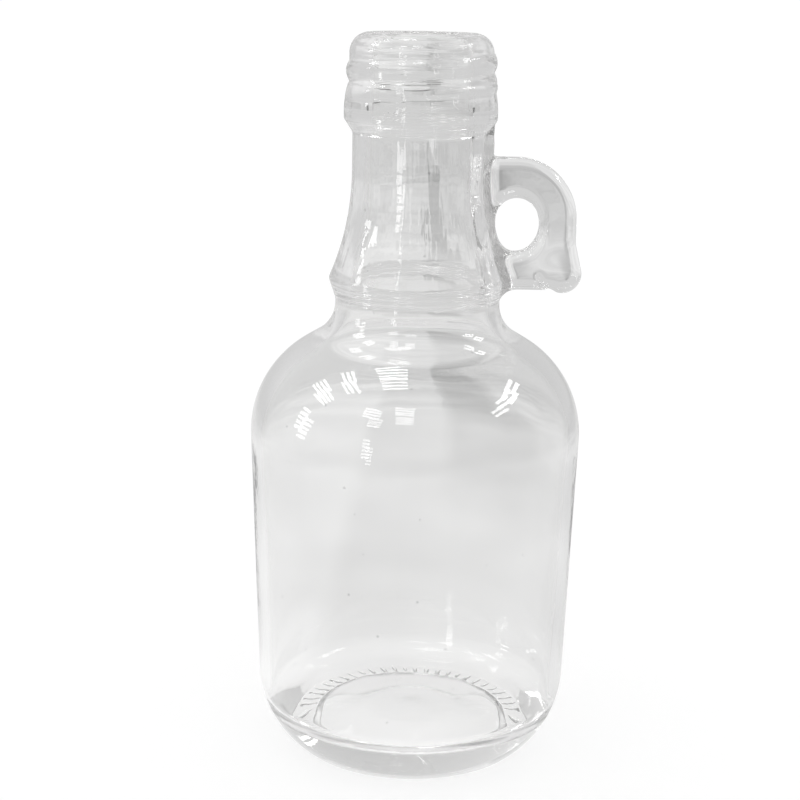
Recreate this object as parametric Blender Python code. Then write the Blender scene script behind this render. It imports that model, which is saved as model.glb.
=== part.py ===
import math

import bmesh
import bpy
from mathutils import Vector

# Driving dimensions of an empty 250 ml handled glass bottle, in millimetres
HEIGHT = 152.0
MM = 0.001

# Finish: a round lip, a helical thread and a smooth band below it
MOUTH_RADIUS = 10.3
LIP_INNER_ROUND = 0.4
LIP_OUTER_ROUND = 4.0
THREAD_ROOT_RADIUS = 14.72
THREAD_HEIGHT = 0.7
THREAD_WIDTH = 3.5
THREAD_PITCH = 3.85
THREAD_TOP = 146.2
THREAD_TURNS = 1.36
THREAD_FADE_TURNS = 0.16
THREAD_BITE = 0.9
THREAD_SINK = 0.1
THREAD_FLANK_PLACE = 0.5
THREAD_FLANK_HEIGHT = 0.62
THREAD_RUNOUT = 0.3
BAND_RADIUS = 15.76
BAND_TOP = 141.6
BAND_TOP_RADIUS = 15.0
BAND_SHOULDER = 138.4
BAND_BOTTOM = 134.7
BAND_CROWN_ROUND = 18.0
BAND_FOOT_ROUND = 1.2

# Neck: a straight tube that flares down to a ring, with a short waist under it
NECK_RADIUS = 13.95
NECK_TOP = 131.9
NECK_TOP_ROUND = 1.5
NECK_FLARE_HEIGHT = 112.9
NECK_FLARE_ROUND = 56.0
RING_RADIUS = 18.6
RING_HEIGHT = 101.8
RING_ROUND = 1.5
WAIST_RADIUS = 17.17
WAIST_TOP = 97.6
WAIST_BOTTOM = 92.45
WAIST_ROUND = 0.7
NECK_ROOT_ROUND = 7.8

# Body: nearly cylindrical, a little wider at the shoulder
SHOULDER_RADIUS = 35.23
SHOULDER_HEIGHT = 81.6
SHOULDER_ROUND = 22.4
HEEL_RADIUS = 32.7
HEEL_HEIGHT = 6.6
HEEL_ROUND = 21.2

# Base: a flat bearing ring around a shallow push-up
BEARING_OUTER_RADIUS = 24.6
BEARING_INNER_RADIUS = 20.2
BEARING_ROUND = 0.5
PUSH_UP_EDGE_RADIUS = 19.2
PUSH_UP_EDGE_HEIGHT = 1.1
PUSH_UP_HEIGHT = 2.6

# Inside surface
INNER_NECK_RADIUS = 10.7
INNER_FLARE_HEIGHT = 116.0
INNER_FLARE_ROUND = 40.0
INNER_WAIST_RADIUS = 14.6
INNER_WAIST_TOP = 98.0
INNER_WAIST_ROUND = 16.0
INNER_WAIST_BOTTOM = 89.6
INNER_ROOT_ROUND = 13.0
INNER_SHOULDER_RADIUS = 32.6
INNER_SHOULDER_HEIGHT = 79.8
INNER_SHOULDER_ROUND = 20.0
INNER_HEEL_RADIUS = 30.1
INNER_HEEL_ROUND = 4.5
INNER_FLOOR_EDGE = 8.0
INNER_FLOOR_CENTRE = 9.6

# Handle: a flat loop of solid glass in the XZ plane, with a rounded tail at its foot
HANDLE_THICKNESS = 8.3
HANDLE_EDGE_ROUND = 1.7
HANDLE_CENTRE = (20.2, 114.9)
HANDLE_OUTER_RADIUS = 12.25
HANDLE_BACK = 32.5
HANDLE_BOTTOM = 100.1
HOLE_CENTRE = (20.1, 113.35)
HOLE_HALF_WIDTH = 4.9
HOLE_HALF_HEIGHT = 5.75
TAIL_CENTRE = (29.85, 103.6)
TAIL_RADIUS = 4.05
PAD_TOP_RADIUS = 15.25
PAD_FOOT_RADIUS = 14.85
PAD_FOOT_HEIGHT = 129.2
PAD_FOOT_ROUND = 2.0
PAD_OVERLAP = 1.0
PAD_FILLET = 1.6
TAIL_ARC = (20, -115)
TAIL_RISE = 6.2
TAIL_FILLET = 2.5
TAIL_FOOT_REACH = 3.0
TAIL_FOOT_ROUND = 0.4
ROOT_DEPTH = 2.6
ROOT_RING_DEPTH = 0.9
ROOT_FLARE_RISE = 1.5
ROOT_FLARE_ROUND = 30.0

# Facets and joins
TURN_SEGMENTS = 64
ARC_TOLERANCE = 0.1
ARC_SHARE_LIMIT = 0.06
AXIS_TOLERANCE = 0.000001
WELD_DISTANCE = 0.01
SHARP_ANGLE = 35


def clear_scene():
    for obj in list(bpy.data.objects):
        bpy.data.objects.remove(obj, do_unlink=True)


def make_glass():
    material = bpy.data.materials.new("clear glass")
    material.use_nodes = True
    shader = material.node_tree.nodes["Principled BSDF"]
    shader.inputs["Base Color"].default_value = (0.93, 0.94, 0.93, 1.0)
    shader.inputs["Roughness"].default_value = 0.04
    shader.inputs["Metallic"].default_value = 0.0
    shader.inputs["IOR"].default_value = 1.5
    shader.inputs["Transmission Weight"].default_value = 1.0
    return material


def rounded_path(corners, closed=False):
    """Points along a line through (x, y, fillet) corners, each corner rounded by its arc."""
    count = len(corners)
    points = []
    for index, (x, y, fillet) in enumerate(corners):
        here = Vector((x, y))
        ends = not closed and index in (0, count - 1)
        if ends or fillet == 0.0:
            points.append(here)
            continue
        before = Vector(corners[index - 1][:2]) - here
        after = Vector(corners[(index + 1) % count][:2]) - here
        inside = before.angle(after)
        turn = math.pi - inside
        reach = fillet * math.tan(turn / 2)
        centre = here + (before.normalized() + after.normalized()).normalized() * (
            fillet / math.sin(inside / 2)
        )
        start = here + before.normalized() * reach - centre
        side = 1.0 if before.cross(after) < 0 else -1.0
        chord_turn = 2 * math.acos(1 - min(ARC_TOLERANCE / fillet, ARC_SHARE_LIMIT))
        steps = math.ceil(turn / chord_turn)
        for step in range(steps + 1):
            angle = side * turn * step / steps
            cosine = math.cos(angle)
            sine = math.sin(angle)
            points.append(
                centre
                + Vector((start.x * cosine - start.y * sine, start.x * sine + start.y * cosine))
            )
    return points


def outer_corners():
    """Outside of the glass from the mouth down to the bearing ring."""
    return [
        (MOUTH_RADIUS, HEIGHT, LIP_INNER_ROUND),
        (THREAD_ROOT_RADIUS, HEIGHT, LIP_OUTER_ROUND),
        (THREAD_ROOT_RADIUS, BAND_TOP + THREAD_RUNOUT, 0.0),
        (BAND_TOP_RADIUS, BAND_TOP, 0.0),
        (BAND_RADIUS, BAND_SHOULDER, BAND_CROWN_ROUND),
        (BAND_RADIUS, BAND_BOTTOM, BAND_FOOT_ROUND),
        (NECK_RADIUS, NECK_TOP, NECK_TOP_ROUND),
        (NECK_RADIUS, NECK_FLARE_HEIGHT, NECK_FLARE_ROUND),
        (RING_RADIUS, RING_HEIGHT, RING_ROUND),
        (WAIST_RADIUS, WAIST_TOP, WAIST_ROUND),
        (WAIST_RADIUS, WAIST_BOTTOM, NECK_ROOT_ROUND),
        (SHOULDER_RADIUS, SHOULDER_HEIGHT, SHOULDER_ROUND),
        (HEEL_RADIUS, HEEL_HEIGHT, HEEL_ROUND),
        (BEARING_OUTER_RADIUS, 0.0, BEARING_ROUND),
    ]


def inner_corners():
    """Inside of the glass from the floor's edge up to the mouth."""
    return [
        (0.0, INNER_FLOOR_CENTRE, 0.0),
        (INNER_HEEL_RADIUS, INNER_FLOOR_EDGE, INNER_HEEL_ROUND),
        (INNER_SHOULDER_RADIUS, INNER_SHOULDER_HEIGHT, INNER_SHOULDER_ROUND),
        (INNER_WAIST_RADIUS, INNER_WAIST_BOTTOM, INNER_ROOT_ROUND),
        (INNER_WAIST_RADIUS, INNER_WAIST_TOP, INNER_WAIST_ROUND),
        (INNER_NECK_RADIUS, INNER_FLARE_HEIGHT, INNER_FLARE_ROUND),
        (MOUTH_RADIUS, HEIGHT, LIP_INNER_ROUND),
    ]


def push_up_points(steps=4):
    """Underside from the bearing ring's inner edge to the axis."""
    points = [Vector((BEARING_INNER_RADIUS, 0.0))]
    for step in range(steps + 1):
        share = step / steps
        rise = (PUSH_UP_HEIGHT - PUSH_UP_EDGE_HEIGHT) * math.sin(share * math.pi / 2)
        points.append(Vector((PUSH_UP_EDGE_RADIUS * (1 - share), PUSH_UP_EDGE_HEIGHT + rise)))
    return points


def shell_profile():
    """The turned section: outside down, underside inwards, inside up, without the last repeat."""
    mouth = (MOUTH_RADIUS, BAND_TOP, 0.0)
    bearing = (BEARING_INNER_RADIUS, 0.0, 0.0)
    outside = rounded_path([mouth] + outer_corners() + [bearing])
    inside = rounded_path(inner_corners())
    return outside[1:-1] + push_up_points() + inside[:-1]


def add_object(name, mesh, material):
    mesh.materials.append(material)
    obj = bpy.data.objects.new(name, mesh)
    bpy.context.scene.collection.objects.link(obj)
    return obj


def shade_round(mesh):
    mesh.shade_smooth()
    mesh.set_sharp_from_angle(angle=math.radians(SHARP_ANGLE))


def turned_shell(material):
    """Revolves the section about Z; points on the axis become single poles."""
    shell = bmesh.new()
    rings = []
    for point in shell_profile():
        if point.x < AXIS_TOLERANCE:
            rings.append([shell.verts.new((0.0, 0.0, point.y * MM))])
            continue
        ring = []
        for segment in range(TURN_SEGMENTS):
            angle = 2 * math.pi * segment / TURN_SEGMENTS
            x = point.x * math.cos(angle)
            y = point.x * math.sin(angle)
            ring.append(shell.verts.new((x * MM, y * MM, point.y * MM)))
        rings.append(ring)
    for index, upper in enumerate(rings):
        lower = rings[(index + 1) % len(rings)]
        if len(upper) == 1 and len(lower) == 1:
            continue
        for segment in range(TURN_SEGMENTS):
            after = (segment + 1) % TURN_SEGMENTS
            if len(upper) == 1:
                shell.faces.new((upper[0], lower[segment], lower[after]))
            elif len(lower) == 1:
                shell.faces.new((upper[segment], lower[0], upper[after]))
            else:
                shell.faces.new((upper[segment], lower[segment], lower[after], upper[after]))
    bmesh.ops.recalc_face_normals(shell, faces=shell.faces)
    mesh = bpy.data.meshes.new("bottle")
    shell.to_mesh(mesh)
    shell.free()
    return add_object("bottle", mesh, material)


def thread_section(share):
    """Half-round ridge section around the thread root, lower where the thread runs out."""
    half = THREAD_WIDTH / 2
    height = THREAD_HEIGHT * share
    flank = THREAD_ROOT_RADIUS + THREAD_FLANK_HEIGHT * height
    return [
        (THREAD_ROOT_RADIUS - THREAD_BITE, -half),
        (THREAD_ROOT_RADIUS - THREAD_SINK, -half),
        (flank, -THREAD_FLANK_PLACE * half),
        (THREAD_ROOT_RADIUS + height, 0.0),
        (flank, THREAD_FLANK_PLACE * half),
        (THREAD_ROOT_RADIUS - THREAD_SINK, half),
        (THREAD_ROOT_RADIUS - THREAD_BITE, half),
    ]


def thread_ridge(material):
    """Right-handed helix that rises out of the band and fades at both of its ends."""
    steps = round((THREAD_TURNS + 2 * THREAD_FADE_TURNS) * TURN_SEGMENTS)
    first_turn = -THREAD_TURNS - THREAD_FADE_TURNS
    ridge = bmesh.new()
    sections = []
    for step in range(steps + 1):
        turn = first_turn + step / TURN_SEGMENTS
        past = max(0.0, turn, -THREAD_TURNS - turn) / THREAD_FADE_TURNS
        share = math.cos(min(1.0, past) * math.pi / 2)
        height = THREAD_TOP + THREAD_PITCH * turn
        cosine = math.cos(2 * math.pi * turn)
        sine = math.sin(2 * math.pi * turn)
        section = []
        for radius, rise in thread_section(share):
            place = (radius * cosine * MM, radius * sine * MM, (height + rise) * MM)
            section.append(ridge.verts.new(place))
        sections.append(section)
    for here, after in zip(sections, sections[1:]):
        for index in range(len(here)):
            beside = (index + 1) % len(here)
            ridge.faces.new((here[index], here[beside], after[beside], after[index]))
    ridge.faces.new(sections[0])
    ridge.faces.new(sections[-1])
    bmesh.ops.recalc_face_normals(ridge, faces=ridge.faces)
    mesh = bpy.data.meshes.new("thread")
    ridge.to_mesh(mesh)
    ridge.free()
    return add_object("thread", mesh, material)


def arc_points(centre, radius, start, end, steps):
    points = []
    for step in range(steps + 1):
        angle = math.radians(start + (end - start) * step / steps)
        points.append((centre[0] + radius * math.cos(angle), centre[1] + radius * math.sin(angle)))
    return points


def handle_outline():
    """Side view of the handle with its pad, running from the band round to the ring and back."""
    pad = [
        (PAD_TOP_RADIUS, BAND_BOTTOM + PAD_OVERLAP, 0.0),
        (PAD_FOOT_RADIUS, PAD_FOOT_HEIGHT, PAD_FOOT_ROUND),
        (PAD_FOOT_RADIUS, HANDLE_CENTRE[1] + HANDLE_OUTER_RADIUS, PAD_FILLET),
    ]
    bow = arc_points(HANDLE_CENTRE, HANDLE_OUTER_RADIUS, 90, 0, 9)
    tail = arc_points(TAIL_CENTRE, TAIL_RADIUS, *TAIL_ARC, 8)
    corners = pad
    corners += [(x, z, 0.0) for x, z in bow]
    corners += [(HANDLE_BACK, TAIL_CENTRE[1] + TAIL_RISE, TAIL_FILLET)]
    corners += [(x, z, 0.0) for x, z in tail]
    corners += [
        (TAIL_CENTRE[0] - TAIL_FOOT_REACH, HANDLE_BOTTOM, TAIL_FOOT_ROUND),
        (RING_RADIUS - ROOT_RING_DEPTH, HANDLE_BOTTOM, 0.0),
        (RING_RADIUS - ROOT_DEPTH, RING_HEIGHT, 0.0),
        (NECK_RADIUS - ROOT_DEPTH, NECK_FLARE_HEIGHT + ROOT_FLARE_RISE, ROOT_FLARE_ROUND),
        (NECK_RADIUS - ROOT_DEPTH, BAND_BOTTOM + PAD_OVERLAP, 0.0),
    ]
    return rounded_path(corners, closed=True)


def hole_outline(steps=24):
    points = []
    for step in range(steps):
        angle = 2 * math.pi * step / steps
        across = HOLE_CENTRE[0] + HOLE_HALF_WIDTH * math.cos(angle)
        up = HOLE_CENTRE[1] + HOLE_HALF_HEIGHT * math.sin(angle)
        points.append(Vector((across, up)))
    return points


def handle_loop(material):
    """Flat curve with a hole, extruded along Y with rounded edges."""
    curve = bpy.data.curves.new("handle outline", "CURVE")
    curve.dimensions = "2D"
    curve.fill_mode = "BOTH"
    for outline in (handle_outline(), hole_outline()):
        spline = curve.splines.new("POLY")
        spline.points.add(len(outline) - 1)
        for place, point in zip(spline.points, outline):
            place.co = (point.x * MM, point.y * MM, 0.0, 1.0)
        spline.use_cyclic_u = True
    curve.bevel_depth = HANDLE_EDGE_ROUND * MM
    curve.bevel_resolution = 1
    curve.extrude = (HANDLE_THICKNESS / 2 - HANDLE_EDGE_ROUND) * MM
    curve.offset = -HANDLE_EDGE_ROUND * MM
    flat = bpy.data.objects.new("handle outline", curve)
    bpy.context.scene.collection.objects.link(flat)
    flat.rotation_euler = (math.radians(90), 0.0, 0.0)
    bpy.context.view_layer.update()
    graph = bpy.context.evaluated_depsgraph_get()
    mesh = bpy.data.meshes.new_from_object(flat.evaluated_get(graph))
    mesh.transform(flat.matrix_world)
    bpy.data.objects.remove(flat, do_unlink=True)
    mesh.materials.clear()
    tidy = bmesh.new()
    tidy.from_mesh(mesh)
    bmesh.ops.remove_doubles(tidy, verts=tidy.verts, dist=WELD_DISTANCE * MM)
    bmesh.ops.recalc_face_normals(tidy, faces=tidy.faces)
    tidy.to_mesh(mesh)
    tidy.free()
    return add_object("handle", mesh, material)


def fuse(body, additions):
    """Joins the additions to the body with one Boolean union and removes them."""
    group = bpy.data.collections.new("additions")
    bpy.context.scene.collection.children.link(group)
    for obj in additions:
        bpy.context.scene.collection.objects.unlink(obj)
        group.objects.link(obj)
    union = body.modifiers.new("union", "BOOLEAN")
    union.operation = "UNION"
    union.operand_type = "COLLECTION"
    union.collection = group
    union.solver = "MANIFOLD"
    bpy.context.view_layer.update()
    graph = bpy.context.evaluated_depsgraph_get()
    fused = bpy.data.meshes.new_from_object(body.evaluated_get(graph))
    body.modifiers.clear()
    old = body.data
    body.data = fused
    bpy.data.meshes.remove(old)
    for obj in additions:
        bpy.data.objects.remove(obj, do_unlink=True)
    bpy.data.collections.remove(group)
    fused.name = "bottle"


def main():
    clear_scene()
    glass = make_glass()
    bottle = turned_shell(glass)
    fuse(bottle, [thread_ridge(glass), handle_loop(glass)])
    shade_round(bottle.data)


main()
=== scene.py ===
import math

import bmesh
import bpy
import numpy as np
from mathutils import Matrix, Vector, noise


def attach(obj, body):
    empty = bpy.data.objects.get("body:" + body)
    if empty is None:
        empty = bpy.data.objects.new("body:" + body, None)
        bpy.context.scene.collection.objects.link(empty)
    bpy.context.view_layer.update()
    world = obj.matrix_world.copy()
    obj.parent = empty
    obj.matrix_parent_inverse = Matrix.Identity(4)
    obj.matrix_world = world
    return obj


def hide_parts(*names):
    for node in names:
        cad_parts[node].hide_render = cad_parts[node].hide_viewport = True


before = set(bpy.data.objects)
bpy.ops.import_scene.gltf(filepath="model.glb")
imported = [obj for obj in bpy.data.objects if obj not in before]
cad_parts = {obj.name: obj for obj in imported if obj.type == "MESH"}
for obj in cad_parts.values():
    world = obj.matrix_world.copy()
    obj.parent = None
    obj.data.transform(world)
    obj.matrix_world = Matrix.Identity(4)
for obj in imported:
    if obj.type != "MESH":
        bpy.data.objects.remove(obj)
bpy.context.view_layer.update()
mm = 0.001
scene = bpy.context.scene
print("frame loaded")


# Nodes: a wire carries one socket, so that plain Python sums build Math nodes
class Wire:
    def __init__(self, bench, socket):
        self.bench = bench
        self.socket = socket

    def mathsWith(self, operation, *values):
        made = self.bench.tree.nodes.new("ShaderNodeMath")
        made.operation = operation
        for place, value in zip(made.inputs, values):
            self.bench.feed(place, value)
        return Wire(self.bench, made.outputs[0])

    def __add__(self, other):
        return self.mathsWith("ADD", self, other)

    def __radd__(self, other):
        return self.mathsWith("ADD", other, self)

    def __sub__(self, other):
        return self.mathsWith("SUBTRACT", self, other)

    def __rsub__(self, other):
        return self.mathsWith("SUBTRACT", other, self)

    def __mul__(self, other):
        return self.mathsWith("MULTIPLY", self, other)

    def __rmul__(self, other):
        return self.mathsWith("MULTIPLY", other, self)

    def __truediv__(self, other):
        return self.mathsWith("DIVIDE", self, other)

    def __rtruediv__(self, other):
        return self.mathsWith("DIVIDE", other, self)

    def __pow__(self, other):
        return self.mathsWith("POWER", self, other)

    def __gt__(self, other):
        return self.mathsWith("GREATER_THAN", self, other)

    def __lt__(self, other):
        return self.mathsWith("LESS_THAN", self, other)

    def call(self, operation, *others):
        return self.mathsWith(operation, self, *others)


class Bench:
    def __init__(self, tree):
        self.tree = tree

    def feed(self, place, value):
        if isinstance(value, Wire):
            self.tree.links.new(value.socket, place)
        else:
            place.default_value = value

    def node(self, kind, settings=None, **values):
        # values are named by socket, or i0, i1 and so on by the socket's place
        made = self.tree.nodes.new(kind)
        for name, value in (settings or {}).items():
            setattr(made, name, value)
        for name, value in values.items():
            place = made.inputs[int(name[1:])] if name[1:].isdigit() else made.inputs[name]
            self.feed(place, value)
        return made

    def wire(self, made, output=0):
        return Wire(self, made.outputs[output])

    def ease(self, value, low, high, first=0.0, last=1.0):
        # goes softly from first to last while the value goes from low to high
        soft = {"interpolation_type": "SMOOTHSTEP"}
        limits = {"From Min": low, "From Max": high, "To Min": first, "To Max": last}
        return self.wire(self.node("ShaderNodeMapRange", soft, Value=value, **limits))

    def grain(self, place, scale, detail):
        return self.wire(self.node("ShaderNodeTexNoise", Vector=place, Scale=scale, Detail=detail))


# Outlines in millimetres
def roundedPath(corners, closed=False, turnStep=5.0, longest=2.5):
    # corners are (x, y, fillet), each fillet becomes an arc and long straight runs are cut up
    count = len(corners)
    points = []
    for index, (x, y, fillet) in enumerate(corners):
        here = Vector((x, y))
        if fillet == 0.0 or (not closed and index in (0, count - 1)):
            points.append(here)
            continue
        before = (Vector(corners[index - 1][:2]) - here).normalized()
        after = (Vector(corners[(index + 1) % count][:2]) - here).normalized()
        inside = before.angle(after)
        turn = math.pi - inside
        centre = here + (before + after).normalized() * (fillet / math.sin(inside / 2))
        start = here + before * (fillet * math.tan(turn / 2)) - centre
        side = 1.0 if before.cross(after) < 0 else -1.0
        steps = max(2, math.ceil(math.degrees(turn) / turnStep))
        for step in range(steps + 1):
            points.append(centre + Matrix.Rotation(side * turn * step / steps, 2) @ start)
    if closed:
        points.append(points[0])
    cut = [points[0]]
    for point in points[1:]:
        pieces = max(1, math.ceil((point - cut[-1]).length / longest))
        first = cut[-1]
        for piece in range(1, pieces + 1):
            cut.append(first.lerp(point, piece / pieces))
    return cut[:-1] if closed else cut


finishSize = {
    "height": 152.0,
    "mouthRadius": 10.3,
    "mouthFlare": 0.2,          # how much wider the mouth is at the lip
    "mouthDepth": 6.0,
    "lipInnerRound": 0.9,
    "lipOuterRound": 4.0,
    "rootRadius": 14.72,        # the wall that the thread stands on
    "rootFootRise": 0.5,
    "rootFootRound": 0.3,
    "bandRadius": 15.76,
    "bandTop": 141.6,
    "bandTopRadius": 15.0,
    "bandTopRound": 0.4,
    "bandShoulder": 138.4,
    "bandCrownRound": 18.0,
    "bandBottom": 134.7,
    "bandBottomRound": 1.2,
}
neckSize = {
    "radius": 13.95,
    "top": 131.9,
    "topRound": 1.5,
    "flareHeight": 112.9,
    "flareRound": 56.0,
    "ringRadius": 18.6,
    "ringHeight": 101.8,
    "ringRound": 1.5,
    "waistRadius": 17.17,
    "waistTop": 97.6,
    "waistTopRound": 0.7,
    "waistBottom": 92.45,
    "rootRound": 7.8,
}
bodySize = {
    "shoulderRadius": 35.23,
    "shoulderHeight": 81.6,
    "shoulderRound": 22.4,
    "heelRadius": 32.7,
    "heelHeight": 6.6,
    "heelRound": 21.2,
    "bearingOuter": 24.6,
    "bearingOuterRound": 0.8,
    "bearingInner": 20.2,
    "bearingInnerRound": 0.5,
    "bearingHeight": 0.25,      # the ticks below it reach down to the ground
    "pushUpEdge": 19.2,
    "pushUpEdgeHeight": 1.3,
    "pushUpEdgeRound": 0.6,
    "pushUpHeight": 2.8,
    "pushUpDrop": 0.2,          # how much lower it is half way out
    "pushUpRound": 30.0,
}
boreSize = {
    "neckRadius": 10.7,
    "flareHeight": 116.0,
    "flareRound": 40.0,
    "waistRadius": 14.6,
    "waistTop": 98.0,
    "waistRound": 16.0,
    "waistBottom": 89.6,
    "rootRound": 13.0,
    "shoulderRadius": 32.6,
    "shoulderHeight": 79.8,
    "shoulderRound": 20.0,
    "heelRadius": 30.1,
    "heelRound": 4.5,
    "floorEdge": 8.0,
    "floorCentre": 9.6,
}
handleSize = {
    "thickness": 8.3,
    "edgeRound": 2.1,
    "centre": (20.2, 114.9),
    "outerRadius": 12.25,
    "back": 32.5,
    "backEndRise": 6.2,         # the straight back ends this far above the tail's centre
    "backRound": 2.5,
    "bottom": 100.1,
    "holeCentre": (20.1, 113.35),
    "holeHalfWidth": 4.9,
    "holeHalfHeight": 5.75,
    "tailCentre": (29.85, 103.6),
    "tailRadius": 4.05,
    "tailArc": (20, -115),
    "tailFootReach": 3.0,
    "tailFootRound": 0.4,
    "padTopRadius": 15.25,
    "padTopRise": 0.6,
    "padFootRadius": 14.85,
    "padFootHeight": 129.2,
    "padFootRound": 2.0,
    "padCornerRound": 0.6,
    "ringDepth": 1.2,           # how deep the underside starts in the neck's ring
    "rootDepth": 4.0,           # how deep the handle is rooted in the neck's wall
    "rootRise": 2.0,
    "creaseTop": (25.5, 102.3),
    "creaseFoot": (27.9, 99.6),
    "creaseWidth": 0.55,
    "creaseDepth": 0.7,
    "knobSwell": 0.35,
    "blend": 2.8,               # reach of the soft fillets between handle and neck
    "blendTop": 134.0,
    "blendFade": 4.0,
    "blendLeast": 0.04,
    "reachIn": 6.0,             # inside this depth of the neck's wall there is no handle
}
skinSize = {
    "top": 136.6,               # the skin of neck and handle lies between these heights
    "bottom": 95.6,
    "gap": 0.4,
    "segments": 144,
    "coreSegments": 96,
    "voxel": 0.45,
    "slopeStep": 0.02,
    "leastSlope": 0.2,
    "longestMove": 0.6,
    "smoothRounds": 4,
    "smoothShare": 0.6,
}


def finishCorners():
    s = finishSize
    return [
        (s["bandRadius"], skinSize["top"] + skinSize["gap"], 0.0),
        (s["bandRadius"], s["bandShoulder"], s["bandCrownRound"]),
        (s["bandTopRadius"], s["bandTop"], s["bandTopRound"]),
        (s["rootRadius"], s["bandTop"] + s["rootFootRise"], s["rootFootRound"]),
        (s["rootRadius"], s["height"], s["lipOuterRound"]),
        (s["mouthRadius"] + s["mouthFlare"], s["height"], s["lipInnerRound"]),
        (s["mouthRadius"], s["height"] - s["mouthDepth"], 0.0),
    ]


def boreCorners():
    s = boreSize
    return [
        (finishSize["mouthRadius"], finishSize["height"] - finishSize["mouthDepth"], 0.0),
        (s["neckRadius"], s["flareHeight"], s["flareRound"]),
        (s["waistRadius"], s["waistTop"], s["waistRound"]),
        (s["waistRadius"], s["waistBottom"], s["rootRound"]),
        (s["shoulderRadius"], s["shoulderHeight"], s["shoulderRound"]),
        (s["heelRadius"], s["floorEdge"], s["heelRound"]),
        (0.0, s["floorCentre"], 0.0),
    ]


def bodyCorners():
    n = neckSize
    s = bodySize
    return [
        (n["waistRadius"], skinSize["bottom"] - skinSize["gap"], 0.0),
        (n["waistRadius"], n["waistBottom"], n["rootRound"]),
        (s["shoulderRadius"], s["shoulderHeight"], s["shoulderRound"]),
        (s["heelRadius"], s["heelHeight"], s["heelRound"]),
        (s["bearingOuter"], s["bearingHeight"], s["bearingOuterRound"]),
        (s["bearingInner"], s["bearingHeight"], s["bearingInnerRound"]),
        (s["pushUpEdge"], s["pushUpEdgeHeight"], s["pushUpEdgeRound"]),
        (s["pushUpEdge"] / 2, s["pushUpHeight"] - s["pushUpDrop"], s["pushUpRound"]),
        (0.0, s["pushUpHeight"], 0.0),
    ]


def neckCorners():
    # the outside between the two cuts, from the waist up, with some to spare
    n = neckSize
    s = finishSize
    return [
        (n["waistRadius"], n["waistBottom"], 0.0),
        (n["waistRadius"], n["waistTop"], n["waistTopRound"]),
        (n["ringRadius"], n["ringHeight"], n["ringRound"]),
        (n["radius"], n["flareHeight"], n["flareRound"]),
        (n["radius"], n["top"], n["topRound"]),
        (s["bandRadius"], s["bandBottom"], s["bandBottomRound"]),
        (s["bandRadius"], s["bandTop"], 0.0),
    ]


def arcPoints(centre, radius, start, end, steps=24):
    angles = np.radians(np.linspace(start, end, steps + 1))
    return [(centre[0] + radius * math.cos(a), centre[1] + radius * math.sin(a), 0.0) for a in angles]


def handleOutline():
    s = handleSize
    padTop = finishSize["bandBottom"] + s["padTopRise"]
    root = neckSize["radius"] - s["rootDepth"]
    corners = [
        (s["padTopRadius"], padTop, 0.0),
        (s["padFootRadius"], s["padFootHeight"], s["padFootRound"]),
        (s["padFootRadius"], s["centre"][1] + s["outerRadius"], s["padCornerRound"]),
    ]
    corners += arcPoints(s["centre"], s["outerRadius"], 90, 0)
    corners.append((s["back"], s["tailCentre"][1] + s["backEndRise"], s["backRound"]))
    corners += arcPoints(s["tailCentre"], s["tailRadius"], *s["tailArc"])
    corners += [
        (s["tailCentre"][0] - s["tailFootReach"], s["bottom"], s["tailFootRound"]),
        (neckSize["ringRadius"] - s["ringDepth"], s["bottom"], 0.0),
        (root, s["bottom"] + s["rootRise"], 0.0),
        (root, padTop, 0.0),
    ]
    return np.array(roundedPath(corners, closed=True, turnStep=10.0, longest=6.0))


def holeOutline(steps=64):
    s = handleSize
    angles = np.linspace(0, 2 * math.pi, steps, endpoint=False)
    across = s["holeCentre"][0] + s["holeHalfWidth"] * np.cos(angles)
    up = s["holeCentre"][1] + s["holeHalfHeight"] * np.sin(angles)
    return np.stack([across, up], axis=1)


def outlineDistance(points, outline):
    # distance of flat points to a closed outline, negative inside it
    nearest = np.full(len(points), np.inf)
    inside = np.zeros(len(points), bool)
    for start, end in zip(outline, np.roll(outline, -1, axis=0)):
        along = end - start
        offset = points - start
        share = np.clip(offset @ along / (along @ along), 0, 1)
        nearest = np.minimum(nearest, ((offset - share[:, None] * along) ** 2).sum(axis=1))
        crosses = (start[1] > points[:, 1]) != (end[1] > points[:, 1])
        if crosses.any():
            edge = start[0] + (points[:, 1] - start[1]) * along[0] / along[1]
            inside ^= crosses & (points[:, 0] < edge)
    return np.where(inside, -1.0, 1.0) * np.sqrt(nearest)


def segmentDistance(points, start, end):
    start = np.array(start)
    along = np.array(end) - start
    offset = points - start
    share = np.clip(offset @ along / (along @ along), 0, 1)
    return np.linalg.norm(offset - share[:, None] * along, axis=1)


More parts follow.
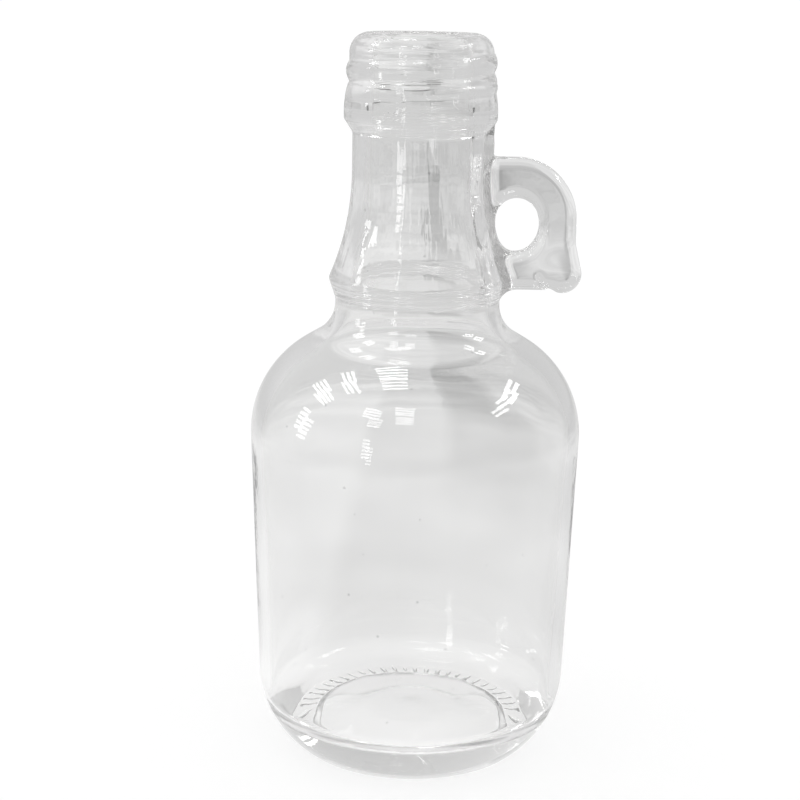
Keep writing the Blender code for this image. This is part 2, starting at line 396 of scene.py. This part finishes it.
class NeckField:
    # how far a point is outside the neck with its handle, the two run together by soft fillets
    def __init__(self):
        side = np.array(neckSide)
        self.heights = side[:, 1]
        self.radii = side[:, 0]
        slope = np.gradient(self.radii, self.heights)
        self.tilt = 1 / np.sqrt(1 + slope ** 2)
        self.outline = handleOutline()
        self.hole = holeOutline()

    def neck(self, points):
        radius = np.hypot(points[:, 0], points[:, 1])
        away = radius - np.interp(points[:, 2], self.heights, self.radii)
        return away * np.interp(points[:, 2], self.heights, self.tilt)

    def handle(self, points):
        # a flat shape with rounded edges, swollen at the tail's knob and pinched along its crease
        s = handleSize
        flat = points[:, [0, 2]]
        side = np.maximum(outlineDistance(flat, self.outline), -outlineDistance(flat, self.hole))
        offCrease = segmentDistance(flat, s["creaseTop"], s["creaseFoot"]) / s["creaseWidth"]
        crease = s["creaseDepth"] * np.exp(-(offCrease ** 2))
        offKnob = np.linalg.norm(flat - np.array(s["tailCentre"]), axis=1) / s["tailRadius"]
        half = s["thickness"] / 2 + s["knobSwell"] * np.exp(-(offKnob ** 2)) - crease
        side = side + s["edgeRound"] + crease / 2
        face = np.abs(points[:, 1]) - half + s["edgeRound"]
        outside = np.hypot(np.maximum(side, 0), np.maximum(face, 0))
        return outside + np.minimum(np.maximum(side, face), 0) - s["edgeRound"]

    def __call__(self, points):
        s = handleSize
        away = self.neck(points)
        near = points[:, 0] > neckSize["radius"] - s["reachIn"]
        loop = self.handle(points[near])
        fade = (s["blendTop"] - points[near, 2]) / s["blendFade"]
        reach = s["blend"] * np.clip(fade, s["blendLeast"], 1)
        mixed = np.maximum(reach - np.abs(away[near] - loop), 0) / reach
        away[near] = np.minimum(away[near], loop) - mixed ** 2 * reach / 4
        return away

    def slope(self, points):
        here = self(points)
        step = skinSize["slopeStep"]
        change = np.stack([self(points + step * axis) - here for axis in np.eye(3)], axis=1)
        return here, change / step

    def settle(self, points, rounds=4):
        # moves points onto the surface
        longest = skinSize["longestMove"]
        for _ in range(rounds):
            here, slope = self.slope(points)
            size = np.maximum((slope ** 2).sum(axis=1), skinSize["leastSlope"])
            points = points - slope * np.clip(here / size, -longest, longest)[:, None]
        return points


def ringPoints(radius, height, segments):
    angles = np.linspace(0, 2 * math.pi, segments, endpoint=False)
    level = np.full(segments, height)
    return np.stack([radius * np.cos(angles), radius * np.sin(angles), level], axis=1)


class Shell:
    # vertices and faces as they are added, in millimetres
    def __init__(self):
        self.points = []
        self.faces = []
        self.count = 0

    def add(self, points):
        first = self.count
        self.points.append(np.asarray(points, float))
        self.count += len(points)
        return list(range(first, self.count))

    def turned(self, profile, segments):
        # rows of quads around Z; the profile's last point is on the axis and closes as a pole
        rows = [self.add(ringPoints(p.x, p.y, segments)) for p in profile[:-1]]
        pole = self.add([(0.0, 0.0, profile[-1].y)])[0]
        for upper, lower in zip(rows, rows[1:]):
            for index in range(segments):
                after = (index + 1) % segments
                self.faces.append((upper[index], lower[index], lower[after], upper[after]))
        for index in range(segments):
            self.faces.append((rows[-1][index], pole, rows[-1][(index + 1) % segments]))
        return rows[0]

    def zipped(self, loop, other):
        # triangles between two loops that both run round Z
        places = np.concatenate(self.points)
        angles = {i: math.atan2(places[i][1], places[i][0]) for i in [*loop, *other]}
        loop, other = (sorted(each, key=angles.get) for each in (loop, other))
        goals, otherGoals = (
            [angles[i] for i in each[1:]] + [angles[each[0]] + 2 * math.pi] for each in (loop, other)
        )
        loop.append(loop[0])
        other.append(other[0])
        a = b = 0
        while a < len(goals) or b < len(otherGoals):
            if b == len(otherGoals) or (a < len(goals) and goals[a] < otherGoals[b]):
                self.faces.append((loop[a], loop[a + 1], other[b]))
                a += 1
            else:
                self.faces.append((loop[a], other[b + 1], other[b]))
                b += 1


def meshFrom(name, points, faces):
    mesh = bpy.data.meshes.new(name)
    mesh.from_pydata([tuple(p) for p in points], [], faces)
    mesh.update()
    return mesh


def linked(name, mesh):
    made = bpy.data.objects.new(name, mesh)
    scene.collection.objects.link(made)
    return made


def applied(made):
    # the object's mesh with its modifiers, which are then taken off
    bpy.context.view_layer.update()
    graph = bpy.context.evaluated_depsgraph_get()
    mesh = bpy.data.meshes.new_from_object(made.evaluated_get(graph))
    made.modifiers.clear()
    made.data = mesh
    return mesh


def addCore(parts):
    # the neck as a closed solid
    segments = skinSize["coreSegments"]
    rows = [[parts.verts.new(p) for p in ringPoints(q.x, q.y, segments)] for q in neckSide]
    for lower, upper in zip(rows, rows[1:]):
        for index in range(segments):
            after = (index + 1) % segments
            parts.faces.new((lower[index], lower[after], upper[after], upper[index]))
    parts.faces.new(rows[0])
    parts.faces.new(rows[-1])


def addSlab(parts, field):
    # the handle as a flat slab with its hole
    half = handleSize["thickness"] / 2
    outlines = [[parts.verts.new((x, -half, z)) for x, z in o] for o in (field.outline, field.hole)]
    edges = []
    for loop in outlines:
        edges += [parts.edges.new((loop[i], loop[(i + 1) % len(loop)])) for i in range(len(loop))]
    filled = bmesh.ops.triangle_fill(parts, edges=edges, use_beauty=True)
    front = [f for f in filled["geom"] if isinstance(f, bmesh.types.BMFace)]
    grown = bmesh.ops.extrude_face_region(parts, geom=front, use_keep_orig=True)
    moved = [v for v in grown["geom"] if isinstance(v, bmesh.types.BMVert)]
    bmesh.ops.translate(parts, verts=moved, vec=(0.0, 2 * half, 0.0))


def roughNeck(field):
    # neck and handle voxel remeshed into one skin
    parts = bmesh.new()
    addCore(parts)
    addSlab(parts, field)
    bmesh.ops.recalc_face_normals(parts, faces=parts.faces)
    mesh = bpy.data.meshes.new("neckRough")
    parts.to_mesh(mesh)
    parts.free()
    rough = linked("neckRough", mesh)
    skin = rough.modifiers.new("skin", "REMESH")
    skin.mode = "VOXEL"
    skin.voxel_size = skinSize["voxel"]
    mesh = applied(rough)
    bpy.data.objects.remove(rough)
    return mesh


def smoothed(field, points, links):
    # each point drifts towards its neighbours' mean and settles on the surface again
    share = skinSize["smoothShare"]
    counts = np.bincount(links.ravel(), minlength=len(points))[:, None]
    points = field.settle(points)
    for _ in range(skinSize["smoothRounds"]):
        sums = np.zeros_like(points)
        np.add.at(sums, links[:, 0], points[links[:, 1]])
        np.add.at(sums, links[:, 1], points[links[:, 0]])
        points = field.settle(points * (1 - share) + share * sums / counts, rounds=2)
    return points


def neckSkin():
    # returns the points, the faces and the edge points of the neck with its handle
    field = NeckField()
    skin = bmesh.new()
    skin.from_mesh(roughNeck(field))
    links = np.array([[v.index for v in e.verts] for e in skin.edges])
    points = smoothed(field, np.array([v.co for v in skin.verts]), links)
    for vertex, place in zip(skin.verts, points):
        vertex.co = place
    for height, side in ((skinSize["top"], 1), (skinSize["bottom"], -1)):
        every = list(skin.verts) + list(skin.edges) + list(skin.faces)
        plane = {"plane_co": (0, 0, height), "plane_no": (0, 0, side)}
        bmesh.ops.bisect_plane(skin, geom=every, dist=0.02, clear_outer=True, **plane)
    skin.verts.index_update()
    edge = {v.index for e in skin.edges if e.is_boundary for v in e.verts}
    points = np.array([v.co for v in skin.verts])
    rims = {skinSize["top"]: finishSize["bandRadius"], skinSize["bottom"]: neckSize["waistRadius"]}
    for height, radius in rims.items():
        loop = [i for i in edge if abs(points[i, 2] - height) < 0.1]
        points[loop, 2] = height
        points[loop, :2] *= (radius / np.hypot(points[loop, 0], points[loop, 1]))[:, None]
    faces = [[v.index for v in f.verts] for f in skin.faces]
    skin.free()
    return points, faces, edge


neckSide = roundedPath(neckCorners(), turnStep=2.0, longest=0.8)


def bottleMesh():
    shell = Shell()
    segments = skinSize["segments"]
    finish = roundedPath(finishCorners(), longest=0.33)
    bore = roundedPath(boreCorners(), turnStep=4.0)
    topRing = shell.turned(finish + bore[1:], segments)
    body = roundedPath(bodyCorners(), turnStep=3.0)
    bodyRing = shell.turned(body, segments)
    points, faces, edge = neckSkin()
    first = shell.count
    shell.add(points)
    shell.faces += [tuple(i + first for i in face) for face in faces]
    middle = (skinSize["top"] + skinSize["bottom"]) / 2
    upper = [i + first for i in edge if points[i, 2] > middle]
    lower = [i + first for i in edge if points[i, 2] < middle]
    shell.zipped(upper, topRing)
    shell.zipped(bodyRing, lower)
    points = np.concatenate(shell.points)
    inner = np.zeros(len(points), bool)
    boreStart = len(finish) * segments
    inner[boreStart:boreStart + (len(bore) - 2) * segments + 1] = True
    mesh = meshFrom("bottleGlass", points, shell.faces)
    whole = bmesh.new()
    whole.from_mesh(mesh)
    bmesh.ops.recalc_face_normals(whole, faces=whole.faces)
    if whole.calc_volume(signed=True) < 0:
        bmesh.ops.reverse_faces(whole, faces=whole.faces)
    whole.to_mesh(mesh)
    whole.free()
    normals = np.array([v.normal for v in mesh.vertices])
    for vertex, place in zip(mesh.vertices, unevenWall(points, normals, inner)):
        vertex.co = place
    print("glass shell closed with", len(mesh.polygons), "faces")
    return mesh


def fuseKnurl(made, material):
    # the bars become one with the bearing ring
    bars = linked("baseKnurl", bpy.data.meshes.new("baseKnurl"))
    runTree(bars, knurlTree(material), knurlSize)
    union = made.modifiers.new("knurl", "BOOLEAN")
    union.operation = "UNION"
    union.solver = "MANIFOLD"
    union.object = bars
    applied(made)
    bpy.data.objects.remove(bars)
    print("ticks fused to the bearing ring")


threadSize = {
    "Height": 0.7 * mm,
    "Width": 4.0 * mm,
    "Pitch": 3.85 * mm,
    "Top": 146.2 * mm,
    "Turns": 1.36,
    "Fade": 0.16,
    "Foot": 0.08,
}
knurlSize = {
    "Count": 54,
    "Radius": 22.5 * mm,
    "Length": 1.55 * mm,
    "Breadth": 0.52 * mm,
    "Height": 0.23 * mm,
    "Level": bodySize["bearingHeight"] * mm,
    "Slant": 0.12,
}
waveSize = {
    "innerRise": 0.11,
    "innerSpread": (17.0, 17.0, 34.0),
    "outerRise": 0.014,
    "outerSpread": (9.0, 9.0, 13.0),
    "secondShare": 0.35,        # a finer wave rides on the first
    "secondScale": 2.3,
    "secondShift": (7.0, 3.0, 5.0),
    "calmTop": 3.0,             # no wave within this depth of the mouth
    "calmTopRun": 8.0,
    "calmBase": 2.0,
    "calmBaseRun": 6.0,
    "calmLeast": 0.15,
}


def geometryTree(name, sizes):
    # a tree with the geometry and one named input for each size
    tree = bpy.data.node_groups.new(name, "GeometryNodeTree")
    tree.interface.new_socket("Geometry", in_out="INPUT", socket_type="NodeSocketGeometry")
    for label, value in sizes.items():
        kind = "NodeSocketInt" if isinstance(value, int) else "NodeSocketFloat"
        tree.interface.new_socket(label, in_out="INPUT", socket_type=kind)
    tree.interface.new_socket("Geometry", in_out="OUTPUT", socket_type="NodeSocketGeometry")
    bench = Bench(tree)
    given = bench.node("NodeGroupInput")
    wires = {label: bench.wire(given, label) for label in ["Geometry", *sizes]}
    return bench, wires


def finishTree(bench, geometry, material):
    real = bench.node("GeometryNodeRealizeInstances", Geometry=geometry)
    painted = bench.node("GeometryNodeSetMaterial", Geometry=bench.wire(real), Material=material)
    bench.node("NodeGroupOutput", Geometry=bench.wire(painted))


def runTree(made, bench, sizes):
    # sets each input by its socket's identifier, then turns the result into a plain mesh
    grown = made.modifiers.new(bench.tree.name, "NODES")
    grown.node_group = bench.tree
    for item in bench.tree.interface.items_tree:
        if item.in_out == "INPUT" and item.name in sizes:
            grown[item.identifier] = sizes[item.name]
    return applied(made)


def threadTree(material):
    # pushes the finish out along a right-handed helix whose top starts at +X
    bench, given = geometryTree("screwThread", threadSize)
    place = bench.node("GeometryNodeInputPosition")
    parts = bench.node("ShaderNodeSeparateXYZ", Vector=bench.wire(place))
    x, y, z = (bench.wire(parts, axis) for axis in "XYZ")
    radius = (x * x + y * y) ** 0.5
    turn = y.call("ARCTAN2", x) / (2 * math.pi)
    rise = (z - given["Top"]) / given["Pitch"]
    lap = (rise - turn).call("ROUND")
    along = turn + lap
    off = (rise - along) * given["Pitch"] / (given["Width"] * 0.5)
    swell = 1.0 - off * off
    ridge = (swell + (swell * swell + given["Foot"]) ** 0.5) * 0.5
    ridge = (ridge - given["Foot"] * 0.5).call("MAXIMUM", 0.0)
    end = bench.ease(along, 0.0, given["Fade"], 1.0, 0.0)
    start = bench.ease(along + given["Turns"], 0.0 - given["Fade"], 0.0)
    outside = radius > finishSize["rootRadius"] * 0.9 * mm     # the bore is left as it is
    lift = ridge * end * start * outside * given["Height"] / radius
    push = bench.node("ShaderNodeCombineXYZ", X=x * lift, Y=y * lift)
    moved = bench.node("GeometryNodeSetPosition", Geometry=given["Geometry"], Offset=bench.wire(push))
    finishTree(bench, bench.wire(moved), material)
    return bench


def knurlTree(material):
    # short bars set round the bearing ring
    bench, given = geometryTree("baseKnurl", knurlSize)
    spots = bench.node("GeometryNodePoints", Count=given["Count"])
    index = bench.wire(bench.node("GeometryNodeInputIndex"))
    angle = index * (2 * math.pi) / given["Count"]
    across = angle.call("COSINE") * given["Radius"]
    along = angle.call("SINE") * given["Radius"]
    spot = bench.wire(bench.node("ShaderNodeCombineXYZ", X=across, Y=along, Z=given["Level"]))
    placed = bench.node("GeometryNodeSetPosition", Geometry=bench.wire(spots), Position=spot)
    bar = bench.wire(bench.node("GeometryNodeMeshUVSphere", Segments=10, Rings=6, Radius=1.0))
    size = bench.node("ShaderNodeCombineXYZ", X=given["Length"], Y=given["Breadth"], Z=given["Height"])
    turned = bench.node("ShaderNodeCombineXYZ", Z=angle + given["Slant"])
    pose = {"Rotation": bench.wire(turned), "Scale": bench.wire(size)}
    bars = bench.node("GeometryNodeInstanceOnPoints", Points=bench.wire(placed), Instance=bar, **pose)
    finishTree(bench, bench.wire(bars), material)
    return bench


def unevenWall(points, normals, inner):
    # moulded glass is never quite true: the wall's inside wanders more than the moulded outside
    s = waveSize
    kinds = {True: (s["innerSpread"], s["innerRise"]), False: (s["outerSpread"], s["outerRise"])}
    shift = Vector(s["secondShift"])
    top = finishSize["height"] - s["calmTop"]
    moved = points.copy()
    for index, (place, normal) in enumerate(zip(points, normals)):
        spread, rise = kinds[bool(inner[index])]
        spot = Vector([p / q for p, q in zip(place, spread)])
        wander = noise.noise(spot) + s["secondShare"] * noise.noise(spot * s["secondScale"] + shift)
        calm = min(1.0, max(0.0, (top - place[2]) / s["calmTopRun"]))
        calm *= min(1.0, max(s["calmLeast"], (place[2] - s["calmBase"]) / s["calmBaseRun"]))
        moved[index] = place + normal * (rise * wander * calm)
    return moved


glassSize = {
    "refraction": 1.5,
    "depthColour": (0.02, 0.01, 0.0, 1.0),
    "depthDensity": 2.0,        # each metre of glass
    "tintDrift": 0.02,          # how far the glass darkens in soft clouds
    "tintScale": 45.0,
    "tintWarm": 0.004,
    "seedScale": 120.0,         # cells of the small seeds, each metre
    "seedRadius": 0.036,
    "seedDark": 0.3,
    "smudgeScale": 70.0,
    "smudgeLevel": 0.55,        # smudges show where the noise is above this
    "smudgeRough": 0.175,
    "rippleScale": 260.0,
    "rippleDepth": 0.035 * mm,
    "rippleBody": 0.35,
    "rippleNeck": 0.3,
    "streakScale": (420.0, 420.0, 32.0),     # drawn glass of the neck runs up and down
    "streakRise": 3.5,
    "finishScale": (60.0, 60.0, 900.0),      # the finish carries fine lines round it
    "finishRise": 4.5,
    "seams": ((100.8, 0.2), (99.9, 0.12), (98.6, 0.16), (134.3, 0.2)),     # mould lines: height, width
    "seamRise": 2.6,
    "neckSoft": 6 * mm,
    "finishSoft": 1 * mm,
    "handleClear": 2 * mm,      # the neck's streaks end this far outside its wall
    "handleSoft": 1 * mm,
}


def glassTint(bench, place):
    s = glassSize
    cloud = bench.grain(place, s["tintScale"], 3.0)
    seeds = bench.node("ShaderNodeTexVoronoi", Vector=place, Scale=s["seedScale"])
    seed = bench.wire(seeds, "Distance") < s["seedRadius"]
    tone = 1.0 - cloud * s["tintDrift"] - seed * s["seedDark"]
    blue = tone - cloud * s["tintWarm"]
    return bench.wire(bench.node("ShaderNodeCombineColor", Red=tone, Green=tone, Blue=blue))


def glassRelief(bench, place):
    # ripples all over, streaks on the neck, lines on the finish and the mould's seams
    s = glassSize
    parts = bench.node("ShaderNodeSeparateXYZ", Vector=place)
    across = bench.wire(parts, "X")
    height = bench.wire(parts, "Z")

    def lines(scale):
        stretched = bench.node("ShaderNodeVectorMath", {"operation": "MULTIPLY"}, i0=place, i1=scale)
        return bench.grain(bench.wire(stretched), 1.0, 2.0)

    def above(value, level, soft):
        return bench.ease(value, level - soft, level + soft)

    ripple = bench.grain(place, s["rippleScale"], 2.0)
    onNeck = above(height, neckSize["ringHeight"] * mm, s["neckSoft"])
    onFinish = above(height, finishSize["bandTop"] * mm, s["finishSoft"])
    onHandle = above(across, neckSize["radius"] * mm + s["handleClear"], s["handleSoft"])
    drawn = onNeck * (1.0 - onFinish) * (1.0 - onHandle)
    relief = ripple * (s["rippleBody"] + s["rippleNeck"] * onNeck)
    relief = relief + lines(s["streakScale"]) * drawn * s["streakRise"]
    relief = relief + lines(s["finishScale"]) * onFinish * s["finishRise"]
    for level, width in s["seams"]:
        off = (height - level * mm) / (width * mm)
        relief = relief + s["seamRise"] / (1.0 + off * off * off * off)
    bump = bench.node("ShaderNodeBump", Height=relief, Strength=1.0, Distance=s["rippleDepth"])
    return bench.wire(bump)


def clearGlass():
    s = glassSize
    material = bpy.data.materials.new("clearGlass")
    material.use_nodes = True
    nodes = material.node_tree.nodes
    bench = Bench(material.node_tree)
    shader = nodes["Principled BSDF"]
    shader.inputs["Transmission Weight"].default_value = 1.0
    shader.inputs["IOR"].default_value = s["refraction"]
    place = bench.wire(bench.node("ShaderNodeTexCoord"), "Object")
    smudge = bench.grain(place, s["smudgeScale"], 4.0) - s["smudgeLevel"]
    bench.feed(shader.inputs["Base Color"], glassTint(bench, place))
    bench.feed(shader.inputs["Roughness"], smudge.call("MAXIMUM", 0.0) * s["smudgeRough"])
    bench.feed(shader.inputs["Normal"], glassRelief(bench, place))
    depth = bench.node("ShaderNodeVolumeAbsorption", Color=s["depthColour"], Density=s["depthDensity"])
    bench.feed(nodes["Material Output"].inputs["Volume"], bench.wire(depth))
    return material


glass = clearGlass()
bottleData = bottleMesh()
bottleData.transform(Matrix.Scale(mm, 4))
bottle = linked("bottleGlass", bottleData)
runTree(bottle, threadTree(glass), threadSize)
print("thread raised on the finish")
fuseKnurl(bottle, glass)
bottle.data.materials.clear()
bottle.data.materials.append(glass)
bottle.data.shade_smooth()
bottle.data.set_sharp_from_angle(angle=math.radians(50))
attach(bottle, "root")
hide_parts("bottle")
print("bottle made")


# Stage: the camera sees a white sweep, and the glass meets the softer tones of a studio: lamps, a toned
# world and a floor that glows with painted light and shade where only the glass sees it
floorTone = {
    "reach": 12.0,
    "white": 0.34,
    "glow": 0.78,
    # the floor's glow as the glass sees it, with painted light on the left and painted shade on the
    # right
    "left": 0.85,
    "right": 0.77,
    "edge": -0.026,             # where the lighter left tone of painted light turns into the darker right one of painted shade, in metres from the axis
    "edgeSoft": 0.006,
    "cloud": 0.4,
    "cloudScale": 9.0,
    "far": 0.19,                # how much painted shade darkens it away from the bottle
    "farRun": (0.25, 1.2),
    "near": 0.17,               # how much painted light brightens it close around the base
    "nearRun": (0.03, 0.1),
    "strip": 0.2,               # how much darker a strip of painted shade is that runs away on the right
    "stripLeft": 0.006,
    "stripLean": 0.01536,       # how far its left edge moves to the right with each metre
    "stripSoft": 0.01,
    "stripRight": (0.055, 0.09),
    "stripRun": (0.1, 0.5),
    "horizonRun": (1.0, 4.0),
}
worldTone = {
    "seen": 1.05,
    "light": 0.77,
    "dark": 0.62,
    "darkSide": (0.75, 0.55, 0.35),
    "turn": (-0.2, 0.9),
    "horizon": 0.65,            # floor and world meet in this tone, so no line shows through the glass
    "horizonRise": 0.3,
}
windows = {
    # azimuth from the front, elevation, width and height in degrees, slats, brightness
    "windowLeftLow": (-88, 15, 8, 18, 5, 6.0),
    "windowLeftMiddle": (-97, 41, 14, 10, 4, 8.0),
    "windowLeftTop": (-99, 58, 14, 8, 3, 8.0),
    "windowFrontLow": (-33, 5, 5, 20, 6, 5.0),
    "windowFrontLeft": (-36, 40, 11, 10, 4, 7.0),
    "windowFrontTop": (-9, 46, 12, 9, 4, 7.0),
    "windowRightBack": (104, 41, 13, 9, 2, 10.0),
    "windowRightFront": (82, 38, 12, 8, 2, 10.0),
}
windowReach = 1.1
slatGap = 0.4
windowAim = Vector((0.0, 0.0, 0.09))
ceiling = {
    "centre": (-0.28, 0.1),
    "height": 1.6,
    "across": 0.38,
    "along": 0.5,
    "tubes": 5,
    "tubeShare": 0.42,
    "glow": 12.0,
}
cameraSize = {
    "distance": 0.366476,
    "height": 0.161990,
    "pitch": 0.231605,
    "roll": -0.017017,
    "yaw": 0.0089012,
    "focalPixels": 1775.0,
    "imagePixels": 800.0,
    "sensor": 36.0,
    "clipStart": 0.01,
}
bounceLimit = 40                # fewer leave black strips where light is caught in the handle's root


def grey(bench, tone):
    return bench.wire(bench.node("ShaderNodeCombineColor", Red=tone, Green=tone, Blue=tone))


def byCameraRay(bench, seen, other):
    ray = bench.wire(bench.node("ShaderNodeLightPath"), "Is Camera Ray")
    return bench.wire(bench.node("ShaderNodeMixShader", i0=ray, i1=other, i2=seen))


def floorPaintedLightAndShade(bench):
    # the painted light and shade that the glass meets: the floor's glow for every ray but the camera's,
    # lighter on the left and round the base, darker on the right, far off and in a strip
    s = floorTone
    place = bench.wire(bench.node("ShaderNodeTexCoord"), "Object")
    parts = bench.node("ShaderNodeSeparateXYZ", Vector=place)
    across = bench.wire(parts, "X")
    behind = bench.wire(parts, "Y")
    away = (across * across + behind * behind) ** 0.5
    cloud = bench.grain(place, s["cloudScale"], 2.0) - 0.5
    tone = bench.ease(across - s["edge"], -s["edgeSoft"], s["edgeSoft"], s["left"], s["right"])
    tone = tone + cloud * s["cloud"] - bench.ease(away, *s["farRun"]) * s["far"]
    leaned = across - behind * s["stripLean"]
    strip = bench.ease(leaned, s["stripLeft"], s["stripLeft"] + s["stripSoft"])
    strip = strip * bench.ease(across, *s["stripRight"], 1.0, 0.0)
    tone = tone - strip * bench.ease(behind, *s["stripRun"]) * s["strip"]
    tone = tone + bench.ease(away, *s["nearRun"], 1.0, 0.0) * s["near"]
    return tone + (worldTone["horizon"] - tone) * bench.ease(away, *s["horizonRun"])


def makeFloor():
    s = floorTone
    mesh = bpy.data.meshes.new("floor")
    flat = bmesh.new()
    bmesh.ops.create_grid(flat, x_segments=1, y_segments=1, size=s["reach"])
    flat.to_mesh(mesh)
    flat.free()
    material = bpy.data.materials.new("paleFloor")
    material.use_nodes = True
    bench = Bench(material.node_tree)
    bench.tree.nodes.remove(bench.tree.nodes["Principled BSDF"])
    matte = bench.node("ShaderNodeBsdfDiffuse", Color=(s["white"], s["white"], s["white"], 1.0))
    glow = bench.node("ShaderNodeEmission", Strength=s["glow"])
    seen = bench.node("ShaderNodeAddShader", i0=bench.wire(matte), i1=bench.wire(glow))
    # rays other than the camera's meet the floor glowing with painted light and shade
    other = bench.node("ShaderNodeEmission", Color=grey(bench, floorPaintedLightAndShade(bench)), Strength=1.0)
    mixed = byCameraRay(bench, bench.wire(seen), bench.wire(other))
    bench.feed(bench.tree.nodes["Material Output"].inputs["Surface"], mixed)
    mesh.materials.append(material)
    linked("floor", mesh)


def makeWorld():
    s = worldTone
    world = bpy.data.worlds.new("studio")
    scene.world = world
    world.use_nodes = True
    bench = Bench(world.node_tree)
    bench.tree.nodes.remove(bench.tree.nodes["Background"])
    towards = bench.wire(bench.node("ShaderNodeTexCoord"), "Generated")
    product = {"operation": "DOT_PRODUCT"}
    facing = bench.node("ShaderNodeVectorMath", product, i0=towards, i1=s["darkSide"])
    rise = bench.wire(bench.node("ShaderNodeSeparateXYZ", Vector=towards), "Z")
    sky = bench.ease(bench.wire(facing, "Value"), *s["turn"], s["light"], s["dark"])
    tone = bench.ease(rise, 0.0, s["horizonRise"], s["horizon"], sky)
    seen = bench.node("ShaderNodeBackground", Color=(1.0, 1.0, 1.0, 1.0), Strength=s["seen"])
    other = bench.node("ShaderNodeBackground", Color=grey(bench, tone), Strength=1.0)
    mixed = byCameraRay(bench, bench.wire(seen), bench.wire(other))
    bench.feed(bench.tree.nodes["World Output"].inputs["Surface"], mixed)


def makePane(name, place, towards, across, up, glow):
    # a bright rectangle at place that faces back along towards, equally bright at any size
    pane = bpy.data.lights.new(name, "AREA")
    pane.shape = "RECTANGLE"
    pane.size = across
    pane.size_y = up
    pane.energy = glow * math.pi * across * up
    made = bpy.data.objects.new(name, pane)
    made.matrix_world = Matrix.Translation(place) @ towards.to_track_quat("Z", "Y").to_matrix().to_4x4()
    made.visible_camera = False
    made.visible_diffuse = False
    scene.collection.objects.link(made)


def makeWindow(name, azimuth, elevation, width, height, slats, glow):
    across = windowReach * math.radians(width)
    step = math.radians(height) / slats
    turn = math.radians(azimuth)
    for slat in range(slats):
        rise = math.radians(elevation - height / 2) + step * (slat + 0.5)
        flat = Vector((math.sin(turn), -math.cos(turn), 0.0)) * math.cos(rise)
        towards = flat + Vector((0.0, 0.0, math.sin(rise)))
        up = windowReach * step * (1.0 - slatGap)
        makePane(name, windowAim + towards * windowReach, towards, across, up, glow)


def makeCeiling():
    s = ceiling
    above = Vector((0.0, 0.0, 1.0))
    step = s["along"] / s["tubes"]
    for tube in range(s["tubes"]):
        depth = s["centre"][1] - s["along"] / 2 + step * (tube + 0.5)
        place = Vector((s["centre"][0], depth, s["height"]))
        makePane("ceilingTube", place, above, s["across"], step * s["tubeShare"], s["glow"])


def makeCamera():
    s = cameraSize
    turned = Matrix.Rotation(s["yaw"], 3, "Z")
    ahead = turned @ Vector((0.0, math.cos(s["pitch"]), -math.sin(s["pitch"])))
    right = ahead.cross(Vector((0.0, 0.0, 1.0))).normalized()
    down = ahead.cross(right)
    across = math.cos(s["roll"]) * right + math.sin(s["roll"]) * down
    lower = -math.sin(s["roll"]) * right + math.cos(s["roll"]) * down
    lens = bpy.data.cameras.new("camera")
    lens.sensor_width = s["sensor"]
    lens.lens = s["sensor"] * s["focalPixels"] / s["imagePixels"]
    lens.clip_start = s["clipStart"]
    camera = bpy.data.objects.new("camera", lens)
    scene.collection.objects.link(camera)
    turn = Matrix((across, -lower, -ahead)).transposed().to_4x4()
    camera.matrix_world = Matrix.Translation((0.0, -s["distance"], s["height"])) @ turn
    scene.camera = camera


makeFloor()
makeWorld()
makeCeiling()
for label, facts in windows.items():
    makeWindow(label, *facts)
makeCamera()
scene.view_settings.view_transform = "Standard"
scene.cycles.use_denoising = True
scene.cycles.max_bounces = bounceLimit
scene.cycles.transmission_bounces = bounceLimit
scene.cycles.glossy_bounces = bounceLimit
print("stage set")
